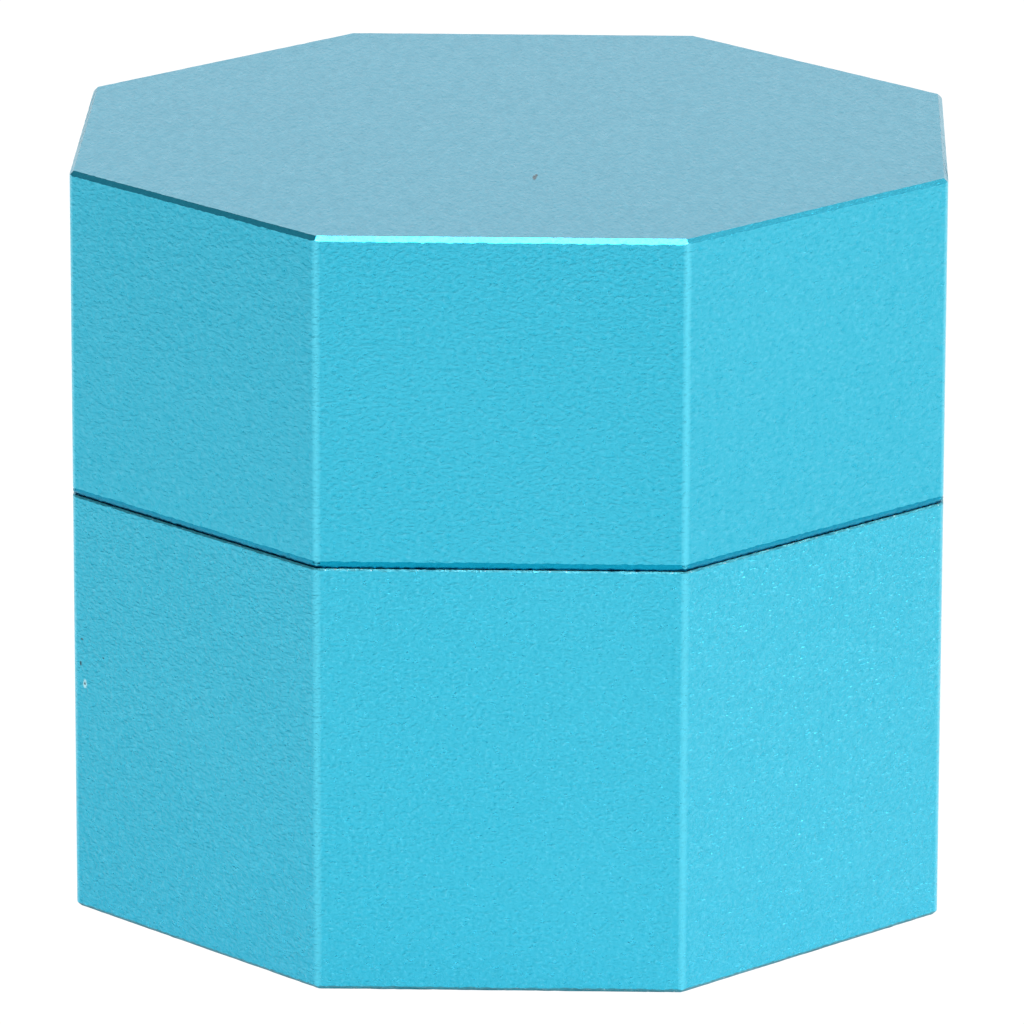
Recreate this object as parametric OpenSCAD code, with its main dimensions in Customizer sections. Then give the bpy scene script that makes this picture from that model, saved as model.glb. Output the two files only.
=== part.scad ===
// Octagonal rock tumbler barrel: a rubber-lined aluminium cup with a quick-turn lid.
// Millimetres. +Z is up, and the origin is the centre of the underside.
// The flats face +X, +Y and the six directions between, so the corners lie at 22.5 degrees.

/* [Body] */
// Width of the octagon across its flats
across_flats = 100; // [96:1:110]
// Height of the lower half, from the underside to the seam
base_h = 49.7; // [46:0.1:60]
// Height of the lid, from the seam to its flat top
lid_h = 38.2; // [37.9:0.1:45]
// Open gap between the two halves when the lid is home
seam_gap = 0.1; // [0.1:0.05:0.4]
// Chamfer on the long outside edges
edge_chamfer = 0.5; // [0.3:0.1:1]
// Thickness of the floor of the lower half
floor_t = 8; // [7:0.5:10]
// Thickness of the top of the lid
lid_top_t = 5; // [4:0.5:6]

/* [Lining] */
// Radius of the bore that the rubber liner sits in
liner_bore_r = 42; // [41:0.5:42.5]
// Half the width across the flats of the tumbling chamber
chamber_inradius = 33.5; // [30:0.5:33.5]
// Thickness of the liner's floor
liner_floor_t = 5; // [4:0.5:7]

/* [Closure] */
// Axial pitch from one thread ridge to the next
pitch = 3; // [3:0.5:4]
// Number of thread starts, one for each face of the octagon
starts = 8; // [4, 8]
// Length of the thread on the neck
thread_len = 12; // [9:1:12]
// Radius of the drive socket's tapped wall, 3.4 for an M8 thread
drive_r = 3.4; // [2.5, 3.4, 4.25]

/* [Hidden] */
$fn = 96;
cut = 1;               // how far a cutting shape runs past the face it opens
fit = 0.05;            // gap round a part that is fixed in its seat
run = 0.3;             // gap between parts that move past each other

// Colours of the finishes
teal = [0.27, 0.76, 0.87];
silver = [0.80, 0.81, 0.82];
rubber = [0.06, 0.06, 0.07];
steel = [0.62, 0.63, 0.65];
bronze = [0.72, 0.53, 0.27];
nylon = [0.90, 0.89, 0.85];

// Outside faces
seam_z = base_h;
lid_z = base_h + seam_gap;
total_h = lid_z + lid_h;
corner_flat_r = across_flats / 2 / cos(22.5) - 0.12; // where the upright corners are eased to a narrow flat
rim_chamfer = 0.1;     // the lower half's top edge is left nearly sharp
far = 2 * across_flats;

// Neck ring: a sleeve sunk in the lower half, and a neck that stands up inside the lid
neck_bore_r = 39.5;
neck_r = 42.3;
neck_top = total_h - 17;
sleeve_r = 45;
sleeve_z = seam_z - 14;
key_r = 1.5;
key_len = 7.5;
key_angles = [for (i = [0:3]) 22.5 + 90 * i];
oring_z = sleeve_z + 4;
oring_section = 0.9;

// Thread: the lid climbs by one lead in each full turn
lead = pitch * starts;
root_r = 42.6;
crest_r = 44;
thread_z = seam_z + 5;
crest_share = 0.3;     // widths as shares of the pitch
flank_share = 0.15;
thread_gap = 0.4;      // radial clearance between the two threads
slack_share = 0.06;
slice_deg = 7.5;
lead_in = crest_r - root_r + 0.2;

// Liner
liner_top = neck_top + 3;
lip_r = neck_r;
mouth_r = chamber_inradius + 3.1;
mouth_depth = 5.5;

// Gasket that fills the seam from inside
gasket_in = 46.95;
gasket_out = 48.65;
gasket_depth = 1.2;
gasket_proud = 0.03;

// Drive insert, held from turning by its hexagon
insert_r = 7;
insert_hex = 22;
insert_head = 3;
insert_washer_t = 0.8;
insert_recess = 0.2;
insert_web = 1;

// Lid inside
ring_seat_r = 46.5;
ring_z = seam_z + 4;
ring_top = thread_z + thread_len;
lid_bore_r = 45;
ceiling_z = total_h - lid_top_t;
boss_r = 12;
boss_z = ceiling_z - 0.8;
spring_h = 1.2;
spring_t = 0.5;
spring_r = 11;
ring_key_r = 1.25;
ring_key_len = 6;

// Inner lid, which hangs from the pivot screw and does not turn with the lid
plate_r = 37;
plate_t = 3;
washer_t = 1;
plate_top = boss_z - spring_h - washer_t - fit;
plate_z = plate_top - plate_t;
inner_lid_r = 42;
plug_len = 4.6;
seal_z = liner_top + 0.1;
retainer_in = 30;
retainer_out = 41.5;
retainer_t = 1.2;
retainer_screw_circle = 33.5;
retainer_screw_angles = [for (i = [0:5]) 60 * i];
retainer_head_r = 2.2;
retainer_shank_r = 1.25;
shoulder_r = 4;
bush_r = 5.5;
washer_r = 7;
lower_washer_t = 0.8;
head_r = 6.5;
head_h = 3.5;
pivot_thread_r = 2.5;
pivot_thread_len = 3.8;

// The outline of one of the four pairs of flats, with both ends chamfered
module flats_profile(z, h, low, high) {
    w = across_flats / 2;
    translate([0, z]) polygon([
        [-w + low, 0], [w - low, 0], [w, low], [w, h - high],
        [w - high, h], [-w + high, h], [-w, h - high], [-w, low]
    ]);
}

// An octagonal block with chamfered ends and eased upright corners
module octagon_block(z, h, low, high) {
    intersection() {
        intersection_for (a = [0, 45, 90, 135])
            rotate([90, 0, a]) linear_extrude(height = far, center = true)
                flats_profile(z, h, low, high);
        translate([0, 0, z - cut])
            cylinder(r = corner_flat_r / cos(22.5), h = h + 2 * cut, $fn = 8);
    }
}

module tube(r_out, r_in, z, h) {
    translate([0, 0, z]) difference() {
        cylinder(r = r_out, h = h);
        translate([0, 0, -cut]) cylinder(r = r_in, h = h + 2 * cut);
    }
}

module hexagon(width, z, h) {
    translate([0, 0, z]) cylinder(r = width / 2 / cos(30), h = h, $fn = 6);
}

// An octagonal prism by its inradius, its flats in line with the outside of the barrel
module octagon_prism(inradius, z, h) {
    translate([0, 0, z]) rotate([0, 0, 22.5])
        cylinder(r = inradius / cos(22.5), h = h, $fn = 8);
}

module at_keys(r) {
    for (a = key_angles)
        rotate([0, 0, a]) translate([r, 0, 0]) children();
}

// Grub screw standing on its point, with a hexagon socket in its top
module grub_screw(r, z, len) {
    difference() {
        union() {
            translate([0, 0, z + 0.5]) cylinder(r = r - fit, h = len - 0.5);
            translate([0, 0, z]) cylinder(r = r * 0.6, h = 1);
        }
        hexagon(r * 1.1, z + len - 1.5, 1.5 + cut);
    }
}

// One ridge of the thread section as [share of the pitch, radius] pairs
function ridge(low_r, high_r, slack) =
    let (half = crest_share / 2 + slack, foot = half + flank_share)
    [[0, low_r], [0.5 - foot, low_r], [0.5 - half, high_r],
     [0.5, high_r], [0.5 + half, high_r], [0.5 + foot, low_r]];

// A solid whose side is a multi-start right-hand thread
module threaded_rod(low_r, high_r, slack, z, h) {
    step = 360 / starts;
    phase = 360 * z / lead;
    points = [for (i = [0:starts - 1], k = ridge(low_r, high_r, slack))
        let (a = (i + k[0]) * step + phase) [k[1] * cos(a), k[1] * sin(a)]];
    turn = 360 * h / lead;
    translate([0, 0, z])
        linear_extrude(height = h, twist = -turn, slices = ceil(turn / slice_deg))
            polygon(points);
}

// The thread's outline in section, which bevels both of its ends
module thread_envelope() {
    top = thread_z + thread_len;
    rotate_extrude() polygon([
        [0, thread_z - cut], [crest_r + 1 - lead_in, thread_z - cut + 0.4], [crest_r + 1, thread_z + lead_in],
        [crest_r + 1, top - lead_in - 0.6], [root_r - 0.2, top + 0.2], [0, top + 0.2]
    ]);
}

module barrel_shell() {
    color(teal) difference() {
        octagon_block(0, base_h, edge_chamfer, rim_chamfer);
        translate([0, 0, floor_t]) cylinder(r = liner_bore_r, h = base_h);
        translate([0, 0, sleeve_z]) cylinder(r = sleeve_r, h = base_h);
        tube(gasket_out + fit, gasket_in - fit, seam_z - gasket_depth, gasket_depth + cut);
        at_keys(sleeve_r) translate([0, 0, seam_z - key_len - 0.5]) cylinder(r = key_r, h = key_len + cut);
        translate([0, 0, -cut]) cylinder(r = insert_r + fit, h = floor_t);
        hexagon(insert_hex + 4 * fit, floor_t - insert_head - insert_washer_t, floor_t);
    }
}

module barrel_liner() {
    color(rubber) difference() {
        union() {
            translate([0, 0, floor_t]) cylinder(r = liner_bore_r - fit, h = sleeve_z - floor_t);
            translate([0, 0, floor_t]) cylinder(r = neck_bore_r - fit, h = liner_top - floor_t);
            translate([0, 0, neck_top]) cylinder(r = lip_r, h = liner_top - neck_top);
        }
        octagon_prism(chamber_inradius, floor_t + liner_floor_t, total_h);
        translate([0, 0, liner_top - mouth_depth]) cylinder(r = mouth_r, h = mouth_depth + cut);
    }
}

module neck_ring() {
    color(silver) difference() {
        union() {
            translate([0, 0, sleeve_z]) cylinder(r = sleeve_r - fit, h = seam_z - sleeve_z - 0.1);
            translate([0, 0, sleeve_z]) cylinder(r = neck_r, h = neck_top - sleeve_z);
            intersection() {
                threaded_rod(root_r, crest_r, 0, thread_z, thread_len);
                thread_envelope();
            }
        }
        translate([0, 0, sleeve_z - cut]) cylinder(r = neck_bore_r, h = total_h);
        tube(sleeve_r + cut, sleeve_r - 2 * oring_section, oring_z, 2.4);
        at_keys(sleeve_r) translate([0, 0, seam_z - key_len - 0.5]) cylinder(r = key_r, h = key_len + cut);
    }
}

module neck_keys() {
    color(steel) at_keys(sleeve_r) grub_screw(key_r, seam_z - key_len - 0.3, key_len);
}

module neck_oring() {
    color(rubber) translate([0, 0, oring_z + 1.2]) rotate_extrude()
        translate([sleeve_r - oring_section, 0]) circle(r = oring_section - fit, $fn = 32);
}

module rim_gasket() {
    color(rubber) tube(gasket_out, gasket_in, seam_z - gasket_depth + fit, gasket_depth + gasket_proud - fit);
}

module drive_insert() {
    color(steel) difference() {
        union() {
            translate([0, 0, insert_recess]) cylinder(r = insert_r, h = floor_t - insert_recess - fit);
            hexagon(insert_hex, floor_t - insert_head, insert_head - fit);
        }
        cylinder(r = drive_r, h = floor_t - insert_web);
    }
}

module insert_washer() {
    color(nylon) tube(insert_hex / 2 - 0.5, insert_r + 0.1, floor_t - insert_head - insert_washer_t, insert_washer_t);
}

module lid_shell() {
    color(teal) difference() {
        octagon_block(lid_z, lid_h, edge_chamfer, edge_chamfer);
        translate([0, 0, lid_z - cut]) cylinder(r = ring_seat_r, h = ring_top - lid_z + cut);
        difference() {
            translate([0, 0, lid_z]) cylinder(r = lid_bore_r, h = ceiling_z - lid_z);
            translate([0, 0, boss_z]) cylinder(r = boss_r, h = total_h);
        }
        at_keys(ring_seat_r) translate([0, 0, lid_z - cut]) cylinder(r = ring_key_r, h = ring_z - lid_z + ring_key_len + 0.3 + cut);
        translate([0, 0, boss_z - cut]) cylinder(r = pivot_thread_r, h = pivot_thread_len + cut);
    }
}

module thread_ring() {
    color(silver) difference() {
        translate([0, 0, ring_z]) cylinder(r = ring_seat_r - fit, h = ring_top - ring_z - fit);
        threaded_rod(root_r + thread_gap, crest_r + thread_gap, slack_share, ring_z - cut, ring_top - ring_z + 2 * cut);
        at_keys(ring_seat_r) translate([0, 0, ring_z - cut]) cylinder(r = ring_key_r, h = ring_key_len + 0.3 + cut);
    }
}

module ring_keys() {
    color(steel) at_keys(ring_seat_r) mirror([0, 0, 1])
        grub_screw(ring_key_r, -ring_z - ring_key_len, ring_key_len);
}

module pivot_screw() {
    head_z = plate_z - lower_washer_t - head_h;
    color(steel) difference() {
        union() {
            translate([0, 0, head_z]) cylinder(r = head_r, h = head_h);
            translate([0, 0, head_z]) cylinder(r = shoulder_r, h = boss_z - head_z);
            translate([0, 0, head_z]) cylinder(r = pivot_thread_r - fit, h = boss_z - head_z + pivot_thread_len - fit);
        }
        hexagon(4, head_z - cut, 2.2 + cut);
    }
}

module disc_spring() {
    color(steel) translate([0, 0, boss_z]) rotate_extrude() polygon([
        [shoulder_r + 0.15, -fit - spring_t], [shoulder_r + 0.15, -fit],
        [spring_r, fit + spring_t - spring_h], [spring_r, fit - spring_h]
    ]);
}

module at_retainer_screws() {
    for (a = retainer_screw_angles)
        rotate([0, 0, a]) translate([retainer_screw_circle, 0, 0]) children();
}

module pressure_plate() {
    color(silver) difference() {
        tube(plate_r, bush_r + fit, plate_z, plate_t);
        at_retainer_screws() translate([0, 0, plate_z + 0.6]) cylinder(r = retainer_shank_r, h = plate_t);
    }
}

module inner_lid() {
    color(rubber) difference() {
        union() {
            translate([0, 0, seal_z]) cylinder(r = inner_lid_r, h = plate_top - seal_z);
            translate([0, 0, seal_z - plug_len]) cylinder(r = mouth_r - run, h = plug_len + cut);
        }
        translate([0, 0, plate_z]) cylinder(r = plate_r + fit, h = plate_t + cut);
        translate([0, 0, plate_z - lower_washer_t - head_h - run]) cylinder(r = washer_r + run, h = plate_t + head_h);
    }
}

module retainer_ring() {
    head_h = retainer_head_r - retainer_shank_r;
    color(silver) difference() {
        tube(retainer_out, retainer_in, plate_top, retainer_t);
        at_retainer_screws() translate([0, 0, plate_top - cut]) cylinder(r = retainer_shank_r + fit, h = retainer_t + 2 * cut);
        at_retainer_screws() translate([0, 0, plate_top + retainer_t - head_h])
            cylinder(r1 = retainer_shank_r + fit, r2 = retainer_head_r + fit + cut, h = head_h + cut);
    }
}

module retainer_screws() {
    head_h = retainer_head_r - retainer_shank_r;
    top = plate_top + retainer_t - fit;
    color(steel) at_retainer_screws() difference() {
        union() {
            translate([0, 0, plate_z + 0.8]) cylinder(r = retainer_shank_r - fit, h = top - plate_z - 0.8);
            translate([0, 0, top - head_h]) cylinder(r1 = retainer_shank_r - fit, r2 = retainer_head_r - fit, h = head_h);
        }
        hexagon(1.5, top - 0.8, 0.8 + cut);
    }
}

module pivot_bush() {
    color(bronze) tube(bush_r, shoulder_r + fit, plate_z, plate_t);
}

module upper_washer() {
    color(nylon) tube(boss_r, shoulder_r + 0.15, plate_top + fit, washer_t - fit);
}

module lower_washer() {
    color(nylon) tube(washer_r, shoulder_r + 0.15, plate_z - lower_washer_t + fit, lower_washer_t - fit);
}

barrel_shell();
barrel_liner();
neck_ring();
neck_keys();
neck_oring();
rim_gasket();
drive_insert();
insert_washer();
lid_shell();
thread_ring();
ring_keys();
pivot_screw();
disc_spring();
pressure_plate();
inner_lid();
retainer_ring();
retainer_screws();
pivot_bush();
upper_washer();
lower_washer();
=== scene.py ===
"""Looks, light and camera for an octagonal rock tumbler barrel with a quick-turn lid."""
import math

import bmesh
import bpy
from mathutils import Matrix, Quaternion, Vector
from mathutils import noise as wobble


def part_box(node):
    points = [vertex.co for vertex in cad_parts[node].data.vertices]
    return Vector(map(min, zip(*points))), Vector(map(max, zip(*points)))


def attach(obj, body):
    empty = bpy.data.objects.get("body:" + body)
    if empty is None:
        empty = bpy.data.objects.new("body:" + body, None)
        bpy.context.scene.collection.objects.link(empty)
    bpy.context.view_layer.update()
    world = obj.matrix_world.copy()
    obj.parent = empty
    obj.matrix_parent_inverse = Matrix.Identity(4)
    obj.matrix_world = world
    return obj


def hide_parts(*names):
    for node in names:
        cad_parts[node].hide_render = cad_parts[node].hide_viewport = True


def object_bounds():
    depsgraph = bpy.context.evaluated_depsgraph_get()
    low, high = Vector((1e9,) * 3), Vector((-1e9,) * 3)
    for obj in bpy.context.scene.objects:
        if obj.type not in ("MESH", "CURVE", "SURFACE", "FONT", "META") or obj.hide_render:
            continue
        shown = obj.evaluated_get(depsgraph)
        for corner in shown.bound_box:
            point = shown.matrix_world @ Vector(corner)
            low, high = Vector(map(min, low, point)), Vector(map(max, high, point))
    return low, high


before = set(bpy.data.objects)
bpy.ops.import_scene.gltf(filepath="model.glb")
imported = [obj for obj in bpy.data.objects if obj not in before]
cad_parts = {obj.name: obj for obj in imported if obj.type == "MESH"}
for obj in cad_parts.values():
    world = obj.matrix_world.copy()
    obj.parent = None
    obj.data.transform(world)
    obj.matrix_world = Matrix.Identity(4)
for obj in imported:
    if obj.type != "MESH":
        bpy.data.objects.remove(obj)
CAD_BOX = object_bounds()
MM = 0.001
WIDTH = CAD_BOX[1].x - CAD_BOX[0].x
HALF = WIDTH / 2
TOP = CAD_BOX[1].z
SIDES = 8
SIDE_TURN = 2 * math.pi / SIDES

SAME_POINT = 1e-6               # metres: points closer than this are one point
CUT_SNAP = 1e-7                 # metres: how near a cut has to pass to use a point that is there
SAME_FLAT = math.radians(0.4)   # faces that meet at less than this are one flat
LEVEL = 0.98                    # a face whose normal has this much z, or more, lies flat
EDGE_DEPTH = 0.62 * MM          # how far in from the flats the broken edges reach
UPRIGHT_BREAK = 0.28 * MM       # how far the bevel of an upright runs along each flat
UPRIGHT_BEND = 0.3              # radians: a sharper bend than this is an upright edge
CORNER_REACH = 1.06 * HALF      # the uprights lie farther out than this
LONG_EDGE = 20 * MM             # only level edges longer than this wander
STRIP_END = 0.39                # of HALF: where a chamfer strip is cut, just short of its corners
WANDER_STEP = 0.27 * MM         # the length of the pieces that a wandering edge is cut into
WANDER_LENGTH = 0.6 * MM        # how far along an edge the wander changes
WANDER = 0.11 * MM              # how far the edge can stray
HIGHLIGHT_STARTS = 0.23 * MM          # how far inside the sharp corner the painted upright highlight begins
HIGHLIGHT_FULL = 0.12 * MM            # and where it is full

# painted highlight: a paler turquoise laid along the rounded uprights for the light they catch
PAINTED_UPRIGHT_HIGHLIGHT = (0.095, 0.585, 0.755, 1)
BARE_METAL = (0.45, 0.60, 0.66, 1)
ROCK_DUST = (0.20, 0.19, 0.175, 1)
# painted shade in small nicks
NICK_SHADE = (0.004, 0.06, 0.09, 1)
CHIP = (0.42, 0.74, 0.82, 1)


# ---------------------------------------------------------------- shader helpers

def add(tree, kind, inputs=None, **settings):
    """A new shader node. inputs maps a socket's name or number to a value or a feeding socket."""
    node = tree.nodes.new("ShaderNode" + kind)
    for key, value in settings.items():
        setattr(node, key, value)
    for key, value in (inputs or {}).items():
        if isinstance(value, bpy.types.NodeSocket):
            tree.links.new(value, node.inputs[key])
        else:
            node.inputs[key].default_value = value
    return node


def grey(value):
    """The grey of that value, as a colour."""
    return (value, value, value, 1)


def noise(tree, coords, scale, detail=3, roughness=0.5, distortion=0):
    made = add(tree, "TexNoise", {"Vector": coords, "Scale": scale, "Detail": detail,
                                  "Roughness": roughness, "Distortion": distortion})
    return made.outputs["Fac"]


def ramp(tree, fac, stops):
    """Maps 0..1 to greys or colours. stops is a list of (position, grey or colour)."""
    made = add(tree, "ValToRGB", {"Fac": fac})
    keys = made.color_ramp.elements
    while len(keys) < len(stops):
        keys.new(0.5)
    for key, (place, value) in zip(keys, stops):
        key.position = place
        key.color = value if isinstance(value, tuple) else grey(value)
    return made.outputs["Color"]


def blend(tree, fac, a, b, how="MIX"):
    """Colour a mixed with colour b by fac."""
    made = add(tree, "Mix", {0: fac, 6: a, 7: b}, data_type="RGBA", blend_type=how)
    return made.outputs[2]


def spread(tree, fac, low, high):
    """A number that runs from low to high as fac goes from 0.3 to 0.7."""
    made = add(tree, "MapRange", {"Value": fac, "From Min": 0.3, "From Max": 0.7,
                                  "To Min": low, "To Max": high})
    return made.outputs["Result"]


def bump(tree, height, distance, strength=1.0, under=None):
    inputs = {"Height": height, "Distance": distance, "Strength": strength}
    if under is not None:
        inputs["Normal"] = under
    return add(tree, "Bump", inputs).outputs["Normal"]


def new_material(name):
    """(material, its tree, its Principled shader, object coordinates)"""
    made = bpy.data.materials.new(name)
    made.use_nodes = True
    tree = made.node_tree
    shader = tree.nodes["Principled BSDF"]
    coords = add(tree, "TexCoord").outputs["Object"]
    return made, tree, shader, coords


def stretched(tree, coords, scale):
    return add(tree, "Mapping", {"Vector": coords, "Scale": scale}).outputs["Vector"]


# ---------------------------------------------------------------- materials

def spot(tree, coords, centre, size):
    """1 within an uneven spot of that centre and size in millimetres, and 0 away from it."""
    at = add(tree, "Mapping", {"Vector": coords, "Location": [c * MM for c in centre],
                               "Scale": [s * MM for s in size]}, vector_type="TEXTURE")
    ragged = noise(tree, coords, 5000, detail=2, roughness=0.6)
    reach = add(tree, "VectorMath", {0: at.outputs["Vector"]}, operation="LENGTH").outputs["Value"]
    torn = add(tree, "Math", {0: ragged, 1: 0.8, 2: reach},
               operation="MULTIPLY_ADD").outputs["Value"]
    return add(tree, "MapRange", {"Value": torn, "From Min": 1.05, "From Max": 1.55,
                                  "To Min": 1.0, "To Max": 0.0}).outputs["Result"]


def upright_highlight_mask(tree, coords):
    """1 along the eight rounded uprights, fading to 0 on the flats: where the painted highlight
    goes.
    """
    plan = stretched(tree, coords, (1, 1, 0))
    out = add(tree, "VectorMath", {0: plan}, operation="LENGTH").outputs["Value"]
    corner = HALF / math.cos(SIDE_TURN / 2)
    return add(tree, "MapRange", {"Value": out, "From Min": corner - HIGHLIGHT_STARTS,
                                  "From Max": corner - HIGHLIGHT_FULL}).outputs["Result"]


def blasted_anodised(name, dent_shade, body, pale, roughness, grain, coat, wear=0.0, scale=2000,
                     lay=(1, 0.4, 1.35), mottle=0.15, marks=()):
    """Dyed anodised aluminium over a bead-blasted skin, with a painted highlight along the
    uprights.

    The first colour is painted shade in the dents' floors, body the dye's own colour, and pale a
    painted glint on the dents' rims that also tints a random paler mottle. grain is the depth of
    the blast dents in millimetres, coat the weight of the clear oxide layer, and wear how much bare
    metal shows through. scale is how many dents there are to the metre, lay how close they sit
    along each axis, and mottle how unevenly the skin shines. marks are small marks, each (centre,
    size, colour); the dark ones are painted shade in nicks.
    """
    made, tree, shader, coords = new_material(name)
    dented = stretched(tree, coords, lay)
    fine = noise(tree, dented, scale, detail=2, roughness=0.6, distortion=0.3)
    coarse = noise(tree, dented, 900, detail=3, roughness=0.55)
    cloud = noise(tree, coords, 28, detail=2, roughness=0.5)
    # painted shade and painted glint: darker in the dents' floors and paler on their rims,
    # following the dent bump
    colour = blend(tree, ramp(tree, fine, [(0.28, 0), (0.48, 1)]), dent_shade, body)
    colour = blend(tree, ramp(tree, fine, [(0.54, 0), (0.74, 1)]), colour, pale)
    colour = blend(tree, spread(tree, cloud, 0, 0.15), colour, pale)
    # painted highlight along the uprights, made patchy by the coarse noise
    lit_band = add(tree, "Math", {0: upright_highlight_mask(tree, coords), 1: spread(tree, coarse, 0.75, 1.0)},
                 operation="MULTIPLY").outputs["Value"]
    colour = blend(tree, lit_band, colour, PAINTED_UPRIGHT_HIGHLIGHT)
    if wear:
        chips = noise(tree, coords, 1900, detail=4, roughness=0.7)
        bare = ramp(tree, chips, [(0.62 - wear * 0.25, 0), (0.68 - wear * 0.25, 1)])
        colour = blend(tree, bare, colour, BARE_METAL)
    shine = grey(1)     # a dark mark is painted shade in a nick, with no metal and no coat to shine
    for centre, size, paint in marks:
        mark = spot(tree, coords, centre, size)
        colour = blend(tree, mark, colour, paint)
        if paint is NICK_SHADE:
            shine = blend(tree, mark, shine, grey(0))
    if marks:
        tree.links.new(shine, shader.inputs["Metallic"])
        tree.links.new(blend(tree, shine, grey(0), grey(coat)), shader.inputs["Coat Weight"])
    else:
        shader.inputs["Metallic"].default_value = 1.0
        shader.inputs["Coat Weight"].default_value = coat
    tree.links.new(colour, shader.inputs["Base Color"])
    tree.links.new(spread(tree, coarse, roughness * (1 - mottle), roughness * (1 + mottle)),
                   shader.inputs["Roughness"])
    shader.inputs["Coat Roughness"].default_value = 0.3
    dents = bump(tree, fine, grain * MM)
    waves = bump(tree, coarse, grain * 0.6 * MM, 0.6, dents)
    tree.links.new(waves, shader.inputs["Normal"])
    tree.links.new(waves, shader.inputs["Coat Normal"])
    return made


def turned_metal(name, low, high, rough_low, rough_high):
    """Lathe-turned metal: fine rings along the axis and a little mottling."""
    made, tree, shader, coords = new_material(name)
    rings = noise(tree, stretched(tree, coords, (60, 60, 9000)), 1, detail=3, roughness=0.6)
    mottle = noise(tree, coords, 700, detail=4, roughness=0.6)
    stain = noise(tree, coords, 60, detail=3, roughness=0.5)
    colour = blend(tree, ramp(tree, mottle, [(0.35, 0), (0.65, 1)]), low, high)
    colour = blend(tree, spread(tree, stain, 0, 0.4), colour, low)
    tree.links.new(colour, shader.inputs["Base Color"])
    tree.links.new(spread(tree, rings, rough_low, rough_high), shader.inputs["Roughness"])
    shader.inputs["Metallic"].default_value = 1.0
    fine = bump(tree, rings, 0.004 * MM, 0.8)
    tree.links.new(bump(tree, mottle, 0.01 * MM, 0.2, fine), shader.inputs["Normal"])
    return made


def moulded_rubber(name, low, high, dust):
    """Matt moulded rubber with grey rock dust in its grain."""
    made, tree, shader, coords = new_material(name)
    grain = noise(tree, coords, 2200, detail=3, roughness=0.6)
    cloud = noise(tree, coords, 90, detail=4, roughness=0.6)
    specks = noise(tree, coords, 900, detail=4, roughness=0.65)
    colour = blend(tree, ramp(tree, grain, [(0.3, 0), (0.7, 1)]), low, high)
    dusty = blend(tree, 1.0, ramp(tree, cloud, [(0.42, 0), (0.75, dust)]),
                  ramp(tree, specks, [(0.4, 0.3), (0.62, 1)]), "MULTIPLY")
    colour = blend(tree, dusty, colour, ROCK_DUST)
    tree.links.new(colour, shader.inputs["Base Color"])
    tree.links.new(spread(tree, cloud, 0.48, 0.68), shader.inputs["Roughness"])
    shader.inputs["Specular IOR Level"].default_value = 0.4
    skin = bump(tree, grain, 0.02 * MM, 0.6)
    tree.links.new(bump(tree, specks, 0.05 * MM, 0.3, skin), shader.inputs["Normal"])
    return made


def nylon_plastic(name):
    """Natural nylon: off-white, faintly clouded and a little translucent."""
    made, tree, shader, coords = new_material(name)
    cloud = noise(tree, coords, 150, detail=3, roughness=0.5)
    grain = noise(tree, coords, 2500, detail=2, roughness=0.5)
    colour = blend(tree, ramp(tree, cloud, [(0.3, 0), (0.7, 1)]),
                   (0.68, 0.66, 0.58, 1), (0.80, 0.79, 0.72, 1))
    tree.links.new(colour, shader.inputs["Base Color"])
    tree.links.new(spread(tree, grain, 0.35, 0.5), shader.inputs["Roughness"])
    shader.inputs["Subsurface Weight"].default_value = 0.1
    shader.inputs["Subsurface Scale"].default_value = 0.5 * MM
    tree.links.new(bump(tree, grain, 0.01 * MM, 0.4), shader.inputs["Normal"])
    return made


# small handling marks on the top, then on the base: (centre, size, colour), in millimetres; the
# dark spots are painted shade in nicks
MARKS = [
    ((3.0, -21.9, 88.0), (0.26, 1.2, 1.0), NICK_SHADE),
    ((3.2, -20.9, 88.0), (0.17, 0.7, 1.0), NICK_SHADE),
    ((-48.7, -22.0, 27.4), (0.34, 0.34, 0.55), CHIP),
    ((-48.7, -22.0, 27.4), (0.15, 0.15, 0.17), NICK_SHADE),
    ((-46.4, -24.3, 31.2), (0.13, 0.13, 0.13), NICK_SHADE),
    ((-49.2, -21.5, 29.7), (0.16, 0.16, 0.3), NICK_SHADE),
    ((-49.0, -21.7, 32.7), (0.25, 0.25, 0.10), NICK_SHADE),
]
LID_SKIN = blasted_anodised(
    "turquoise_blasted_lid", dent_shade=(0.014, 0.392, 0.557, 1), body=(0.035, 0.442, 0.607, 1),
    pale=(0.068, 0.495, 0.665, 1), roughness=0.30, grain=0.095, coat=0.28, scale=1800)
# painted light: the lid's top face has its own skin, dyed lighter than the lid's sides for the
# light the top catches
LIT_TOP_SKIN = blasted_anodised(
    "turquoise_lighter_lit_top", dent_shade=(0.031, 0.43, 0.62, 1), body=(0.035, 0.472, 0.668, 1),
    pale=(0.042, 0.52, 0.725, 1), roughness=0.30, grain=0.09, coat=0.28, scale=2700,
    lay=(1, 0.35, 1), mottle=0.09, marks=MARKS[:2])
BASE_SKIN = blasted_anodised(
    "turquoise_blasted_base", dent_shade=(0.016, 0.405, 0.575, 1), body=(0.038, 0.465, 0.635, 1),
    pale=(0.080, 0.535, 0.705, 1), roughness=0.30, grain=0.165, coat=0.28, scale=2200,
    marks=MARKS[2:])
CHAMFER = blasted_anodised(
    "turquoise_cut_chamfer", dent_shade=(0.012, 0.40, 0.58, 1), body=(0.022, 0.45, 0.64, 1),
    pale=(0.032, 0.49, 0.69, 1), roughness=0.22, grain=0.03, coat=0.36)
# painted shade: the lid's mouth slopes at the seam are dyed far darker than the skin, for the shade
# and dark reflections in the seam
MOUTH_SHADE = blasted_anodised(
    "turquoise_mouth_painted_shade", dent_shade=(0.002, 0.20, 0.325, 1), body=(0.004, 0.25, 0.39, 1),
    pale=(0.008, 0.30, 0.46, 1), roughness=0.26, grain=0.05, coat=0.0)
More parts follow.
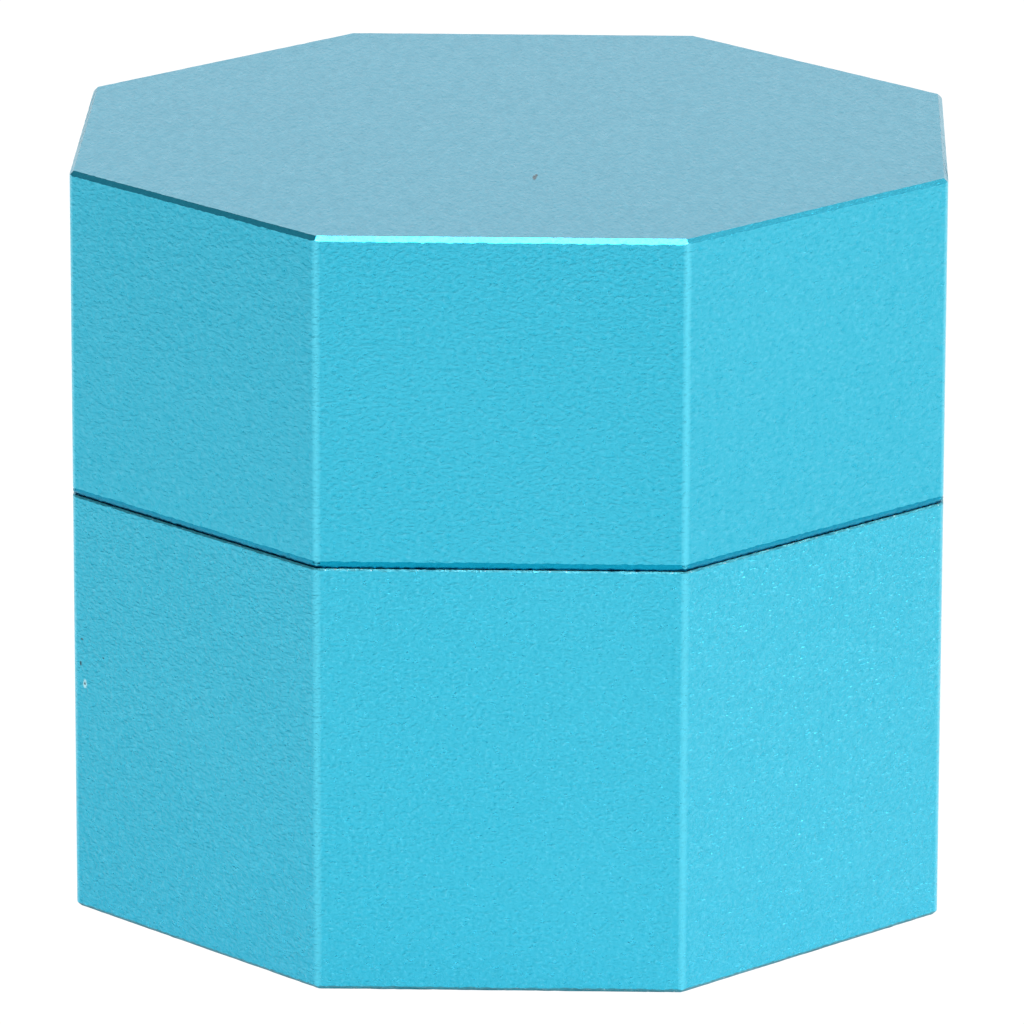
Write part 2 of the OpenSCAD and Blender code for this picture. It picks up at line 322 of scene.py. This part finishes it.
# the base's edge slopes at the seam and the foot: greyer and rougher from real wear, and dyed
# darker than the skin as painted shade under the lid and along the floor
WORN_AND_SHADED = blasted_anodised(
    "turquoise_worn_shaded_edge", dent_shade=(0.03, 0.27, 0.35, 1), body=(0.05, 0.34, 0.43, 1),
    pale=(0.11, 0.45, 0.53, 1), roughness=0.50, grain=0.12, coat=0.2, wear=0.04)
ALUMINIUM = turned_metal("clear_anodised_aluminium", low=(0.62, 0.63, 0.64, 1),
                         high=(0.78, 0.79, 0.80, 1), rough_low=0.26, rough_high=0.40)
STEEL = turned_metal("turned_stainless", low=(0.42, 0.42, 0.43, 1),
                     high=(0.60, 0.60, 0.61, 1), rough_low=0.2, rough_high=0.34)
BLACK_STEEL = turned_metal("black_oxide_steel", low=(0.02, 0.02, 0.022, 1),
                           high=(0.06, 0.06, 0.065, 1), rough_low=0.32, rough_high=0.5)
BRONZE = turned_metal("bearing_bronze", low=(0.42, 0.24, 0.09, 1),
                      high=(0.66, 0.42, 0.19, 1), rough_low=0.28, rough_high=0.42)
RUBBER = moulded_rubber("moulded_rubber", low=(0.012, 0.012, 0.013, 1),
                        high=(0.030, 0.030, 0.031, 1), dust=0.35)
SEAL = moulded_rubber("seal_rubber", low=(0.008, 0.008, 0.009, 1),
                      high=(0.020, 0.020, 0.021, 1), dust=0.1)
NYLON = nylon_plastic("natural_nylon")


# ---------------------------------------------------------------- shapes

def link_piece(name, mesh, body, replaces, materials):
    """Puts a finished mesh in the scene as a piece that rides on a body."""
    made = bpy.data.objects.new(name, mesh)
    bpy.context.scene.collection.objects.link(made)
    for material in materials:
        mesh.materials.append(material)
    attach(made, body)
    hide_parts(*replaces)
    return made


def weighted(obj, angle):
    """Smooth shading that keeps large flats flat. Edges sharper than angle degrees stay sharp."""
    for face in obj.data.polygons:
        face.use_smooth = True
    obj.data.set_sharp_from_angle(angle=math.radians(angle))
    fix = obj.modifiers.new("weighted_normals", "WEIGHTED_NORMAL")
    fix.keep_sharp = True
    fix.weight = 100            # the most that a face's area can count


def octagon_reach(point):
    """How far a point is out from the axis, measured square to the nearest of the eight flats."""
    return max(point.x * math.cos(a) + point.y * math.sin(a)
               for a in (i * SIDE_TURN for i in range(SIDES)))


def with_rim(faces):
    """The faces with all their edges and points, as bisect_plane wants them."""
    edges = list(dict.fromkeys(e for f in faces for e in f.edges))
    return faces + edges + list(dict.fromkeys(v for f in faces for v in f.verts))


def uneven(bm, edges, step, amount):
    """Cuts long level edges up and moves the new points a little, as a blasted edge wanders."""
    cuts = int(max(e.calc_length() for e in edges) / step)
    made = bmesh.ops.subdivide_edges(bm, edges=edges, cuts=cuts, use_only_quads=True)["geom_inner"]
    for point in (g for g in made if isinstance(g, bmesh.types.BMVert)):
        wander = amount * wobble.noise(point.co / WANDER_LENGTH)
        if any(abs(face.normal.z) > 0.99 for face in point.link_faces):
            point.co += Vector((point.co.x, point.co.y, 0)).normalized() * wander
        else:
            point.co.z += wander


def machined_shell(name, node, body, skin, lip, edge_level, profile):
    """The CAD shell with its flats merged and its edges broken.

    profile shapes the outer edge at edge_level, which is the seam's: a list of (height from that
    level, how far the wall draws in) in mm. lip is the material of that edge's slopes.
    """
    bm = bmesh.new()
    bm.from_mesh(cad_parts[node].data)
    bmesh.ops.remove_doubles(bm, verts=bm.verts, dist=SAME_POINT)
    bmesh.ops.dissolve_limit(bm, angle_limit=SAME_FLAT, verts=bm.verts, edges=bm.edges)

    def outside(place):
        return octagon_reach(place) > HALF - EDGE_DEPTH

    def upright(edge):
        a, b = (v.co for v in edge.verts)
        return ((a.xy - b.xy).length < SAME_POINT and a.xy.length > CORNER_REACH
                and edge.calc_face_angle() > UPRIGHT_BEND)

    def long_level(edge):
        a, b = (v.co for v in edge.verts)
        return (outside(a) and outside(b) and abs(a.z - b.z) < SAME_POINT
                and (a - b).length > LONG_EDGE)

    bmesh.ops.bevel(bm, geom=[e for e in bm.edges if upright(e)], offset=UPRIGHT_BREAK,
                    offset_type="OFFSET", segments=4, profile=0.5, affect="EDGES",
                    clamp_overlap=True)
    for height, draw in profile:
        level = edge_level + height * MM
        walls = [f for f in bm.faces
                 if outside(f.calc_center_median()) and abs(f.normal.z) < LEVEL]
        bmesh.ops.bisect_plane(bm, geom=with_rim(walls), plane_co=(0, 0, level),
                               plane_no=(0, 0, 1), dist=CUT_SNAP)
        for vert in bm.verts:
            if abs(vert.co.z - level) < SAME_POINT and outside(vert.co):
                vert.co.xy *= 1 - draw * MM / HALF

    # The seam's slopes are cut near both ends of each side, so that their long parts are plain
    # four-sided strips, which uneven() can divide.
    for end in range(2 * SIDES):
        turn = end // 2 * SIDE_TURN
        out = Vector((math.cos(turn), math.sin(turn), 0))
        along = Vector((-out.y, out.x, 0)) * (1 if end % 2 else -1)
        bm.normal_update()
        strips = [f for f in bm.faces if outside(f.calc_center_median()) and f.normal.dot(out) > 0.5
                  and abs(f.normal.z) > 0.05 and abs(f.calc_center_median().z - edge_level) < MM]
        bmesh.ops.bisect_plane(bm, geom=with_rim(strips), plane_co=along * HALF * STRIP_END,
                               plane_no=along, dist=CUT_SNAP)
    uneven(bm, [e for e in bm.edges if long_level(e)], WANDER_STEP, WANDER)
    bm.normal_update()
    chamfer_slot, lip_slot, end_slot = 1, 2, 3      # places in link_piece's list of materials
    for face in bm.faces:
        centre, slope = face.calc_center_median(), abs(face.normal.z)
        if slope > LEVEL and centre.z > TOP - 0.1 * MM:
            face.material_index = end_slot
        elif outside(centre) and 0.1 < slope < LEVEL:
            face.material_index = chamfer_slot if centre.z > TOP - MM else lip_slot
    mesh = bpy.data.meshes.new(name)
    bm.to_mesh(mesh)
    bm.free()
    made = link_piece(name, mesh, body, [node], [skin, CHAMFER, lip, LIT_TOP_SKIN])
    weighted(made, 28)


def dress(node, material, bevel):
    """A CAD node whose shape is right: its own material, and edges broken by bevel metres."""
    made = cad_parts[node]
    made.data.materials.clear()
    made.data.materials.append(material)
    if bevel:
        weld = made.modifiers.new("weld", "WELD")
        weld.merge_threshold = SAME_POINT
        merge = made.modifiers.new("merge_flats", "DECIMATE")
        merge.decimate_type = "DISSOLVE"
        merge.angle_limit = SAME_FLAT
        edge = made.modifiers.new("break_edges", "BEVEL")
        edge.width = bevel
        edge.segments = 2
        edge.limit_method = "ANGLE"
        edge.angle_limit = math.radians(30)
        edge.harden_normals = True
    for face in made.data.polygons:
        face.use_smooth = True
    made.data.set_sharp_from_angle(angle=math.radians(35))


machined_shell("lower_shell", "barrel_shell", "barrel", BASE_SKIN, WORN_AND_SHADED,
               edge_level=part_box("barrel_shell")[1].z,
               profile=[(-0.2, 0), (-0.1, 0.1), (0, 0.1)])
machined_shell("upper_shell", "lid_shell", "lid", LID_SKIN, MOUTH_SHADE,
               edge_level=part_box("lid_shell")[0].z,
               profile=[(0.78, 0), (0.5, 0.07), (0.27, -0.115), (0, -0.2)])
for node, material, eased in [      # eased is how far the edges are broken, in millimetres
        ("neck_ring", ALUMINIUM, 0), ("thread_ring", ALUMINIUM, 0),
        ("pressure_plate", ALUMINIUM, 0.1), ("retainer_ring", ALUMINIUM, 0.08),
        ("retainer_screws", STEEL, 0.08), ("neck_keys", BLACK_STEEL, 0.08),
        ("ring_keys", BLACK_STEEL, 0.08), ("drive_insert", STEEL, 0.15),
        ("pivot_screw", STEEL, 0.15), ("disc_spring", STEEL, 0.06), ("pivot_bush", BRONZE, 0.1),
        ("barrel_liner", RUBBER, 0.5), ("inner_lid", RUBBER, 0.4), ("neck_oring", SEAL, 0),
        ("rim_gasket", SEAL, 0.1), ("insert_washer", NYLON, 0.08), ("upper_washer", NYLON, 0.1),
        ("lower_washer", NYLON, 0.08)]:
    dress(node, material, eased * MM)


# ---------------------------------------------------------------- stage, light and camera

def add_floor():
    """A large pale floor that lights the object from below."""
    mesh = bpy.data.meshes.new("floor")
    bm = bmesh.new()
    bmesh.ops.create_grid(bm, x_segments=1, y_segments=1, size=4)
    bm.to_mesh(mesh)
    bm.free()
    made = bpy.data.objects.new("floor", mesh)
    made.location.z = -0.02 * MM
    bpy.context.scene.collection.objects.link(made)
    material, _, shader, _ = new_material("pale_floor")
    shader.inputs["Base Color"].default_value = grey(0.8)
    shader.inputs["Roughness"].default_value = 1.0
    shader.inputs["Specular IOR Level"].default_value = 0.0
    shader.inputs["Emission Color"].default_value = grey(1)
    shader.inputs["Emission Strength"].default_value = 0.34
    mesh.materials.append(material)
    made.visible_camera = False


def add_world():
    """Studio surroundings, shaded by height, side and depth. The camera sees plain white."""
    world = bpy.data.worlds.new("studio")
    bpy.context.scene.world = world
    world.use_nodes = True
    tree = world.node_tree
    tree.nodes.clear()
    coords = add(tree, "TexCoord").outputs["Generated"]
    way = add(tree, "SeparateXYZ", {"Vector": coords}).outputs
    side = add(tree, "MapRange", {"Value": way["X"], "From Min": -1.0}).outputs["Result"]
    depth = add(tree, "MapRange", {"Value": way["Y"], "From Min": -1.0}).outputs["Result"]
    by_height = ramp(tree, way["Z"], [(0.36, 1.0), (0.58, 0.25), (0.7, 0.27), (0.9, 0.75)])
    by_side = ramp(tree, side, [(0.0, (0.29, 0.59, 0.63, 1)), (0.15, (0.39, 0.63, 0.67, 1)),
                                (0.4, (0.87, 0.89, 0.90, 1)), (1.0, (1.0, 0.89, 0.86, 1))])
    by_depth = ramp(tree, depth, [(0.0, 0.78), (0.5, 0.95), (1.0, 1.10)])
    shade = blend(tree, 1.0, by_height, by_side, "MULTIPLY")
    shade = blend(tree, 1.0, shade, by_depth, "MULTIPLY")
    lit = add(tree, "Background", {"Color": shade, "Strength": 1.0}).outputs[0]
    plain = add(tree, "Background", {"Color": grey(1), "Strength": 1.05}).outputs[0]
    seen = add(tree, "LightPath").outputs["Is Camera Ray"]
    mixed = add(tree, "MixShader", {0: seen, 1: lit, 2: plain}).outputs[0]
    out = add(tree, "OutputWorld")
    tree.links.new(mixed, out.inputs["Surface"])


def add_softbox(name, towards, distance, size, radiance, tint=(1, 1, 1)):
    """A rectangular soft light that faces the middle of the object from distance metres away.

    size is its width and height in metres, and radiance is how bright its face looks.
    """
    light = bpy.data.lights.new(name, "AREA")
    light.shape = "RECTANGLE"
    light.size, light.size_y = size
    light.energy = radiance * math.pi * size[0] * size[1]
    light.color = tint
    made = bpy.data.objects.new(name, light)
    way = Vector(towards).normalized()
    made.location = Vector((0, 0, TOP / 2)) + way * distance
    made.rotation_mode = "QUATERNION"
    made.rotation_quaternion = (-way).to_track_quat("-Z", "Y")
    made.visible_camera = False
    bpy.context.scene.collection.objects.link(made)


def add_camera():
    """The photograph's view, with its lengths in widths of the barrel across its flats."""
    aim_height, distance = 0.4218, 11.056
    azimuth, elevation, roll = (math.radians(a) for a in (1.43, 16.02, 0.15))
    back = Vector((math.sin(azimuth) * math.cos(elevation),
                   -math.cos(azimuth) * math.cos(elevation), math.sin(elevation)))
    data = bpy.data.cameras.new("camera")
    data.sensor_width = 36
    data.lens = 331.9
    data.clip_start, data.clip_end = 0.01, 50
    made = bpy.data.objects.new("camera", data)
    made.location = Vector((0, 0, aim_height * WIDTH)) + back * distance * WIDTH
    made.rotation_mode = "QUATERNION"
    made.rotation_quaternion = (-back).to_track_quat("-Z", "Y") @ Quaternion((0, 0, 1), roll)
    bpy.context.scene.collection.objects.link(made)
    bpy.context.scene.camera = made


add_floor()
add_world()
add_softbox("overhead", (0.0, -0.28, 0.96), 0.9, (0.36, 0.30), 11.0)
add_softbox("front_top", (0.1, -0.83, 0.55), 1.2, (0.35, 0.35), 6.0)
add_softbox("right", (0.88, 0.02, 0.47), 1.2, (0.50, 0.50), 6.3, (1, 0.86, 0.82))
add_softbox("right_back", (0.70, 0.27, 0.66), 1.0, (0.5, 0.6), 0.62)
add_softbox("left_back", (-0.69, 0.30, 0.66), 1.0, (0.5, 0.6), 0.12)
add_softbox("left_strip", (-0.72, -0.69, 0.05), 1.2, (0.15, 0.7), 1.0)
add_softbox("right_strip", (0.70, -0.72, 0.05), 1.2, (0.15, 0.7), 2.0)
add_camera()

view = bpy.context.scene.view_settings
view.view_transform = "Standard"
view.look = "None"
view.exposure = 0
view.gamma = 1
